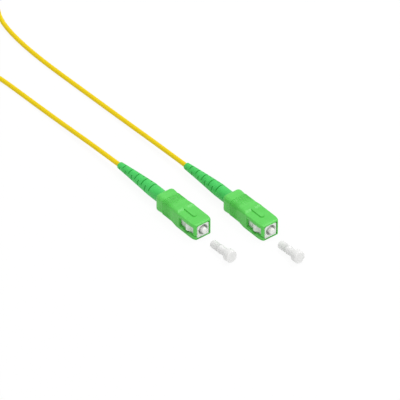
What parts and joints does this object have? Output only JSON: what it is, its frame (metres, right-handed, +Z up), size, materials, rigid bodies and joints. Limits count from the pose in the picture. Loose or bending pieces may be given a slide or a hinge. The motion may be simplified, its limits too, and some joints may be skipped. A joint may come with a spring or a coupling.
{
  "type": "fibre optic patch cable",
  "caption": "Simplex single-mode fibre patch cable, 1 m, with green push-pull angled-contact plugs, slotted boots, sprung ferrules, loose dust caps and a neat coil of the spare length.",
  "frame": {"origin": "on the ferrule axis of plug A, in the plane of its plug frame's front face", "axes": "+X out of both plugs along their ferrules, +Y from plug A towards plug B, +Z up from the table with the keys on top"},
  "size_m": [0.2578, 0.0488, 0.0078],
  "materials": {
    "housing_green": "moulded, light satin",
    "boot_green": "soft moulded elastomer",
    "frame_white": "moulded, smooth",
    "zirconia": "ground and polished",
    "flange_steel": "turned",
    "spring_steel": "drawn wire",
    "stop_ring_metal": "turned",
    "crimp_metal": "crimped",
    "buffer_white": "extruded",
    "cap_clear": "translucent moulded",
    "jacket_yellow": "extruded, low-smoke jacket"
  },
  "bodies": {
    "root": {"plug_frame_a": "frame_white", "spring_a": "spring_steel", "stop_ring_a": "stop_ring_metal", "crimp_ring_a": "crimp_metal", "boot_a": "boot_green", "dust_cap_a": "cap_clear", "plug_frame_b": "frame_white", "spring_b": "spring_steel", "stop_ring_b": "stop_ring_metal", "crimp_ring_b": "crimp_metal", "boot_b": "boot_green", "dust_cap_b": "cap_clear", "cable_lead_a": "jacket_yellow", "cable_lead_b": "jacket_yellow", "cable_coil": "jacket_yellow"},
    "grip_a": {"outer_housing_a": "housing_green"},
    "ferrule_unit_a": {"ferrule_a": "zirconia", "ferrule_flange_a": "flange_steel", "fibre_buffer_a": "buffer_white"},
    "grip_b": {"outer_housing_b": "housing_green"},
    "ferrule_unit_b": {"ferrule_b": "zirconia", "ferrule_flange_b": "flange_steel", "fibre_buffer_b": "buffer_white"}
  },
  "joints": [
    {"name": "grip_a_slide", "type": "slide", "parent": "root", "child": "grip_a", "axis": [1, 0, 0], "range_m": [-0.0015, 0.0005]},
    {"name": "ferrule_a_slide", "type": "slide", "parent": "root", "child": "ferrule_unit_a", "axis": [-1, 0, 0], "range_m": [0, 0.001], "stiffness_N_per_m": 2500, "springref_m": -0.003, "deforming": ["spring_a"]},
    {"name": "grip_b_slide", "type": "slide", "parent": "root", "child": "grip_b", "axis": [1, 0, 0], "range_m": [-0.0015, 0.0005]},
    {"name": "ferrule_b_slide", "type": "slide", "parent": "root", "child": "ferrule_unit_b", "axis": [-1, 0, 0], "range_m": [0, 0.001], "stiffness_N_per_m": 2500, "springref_m": -0.003, "deforming": ["spring_b"]}
  ]
}
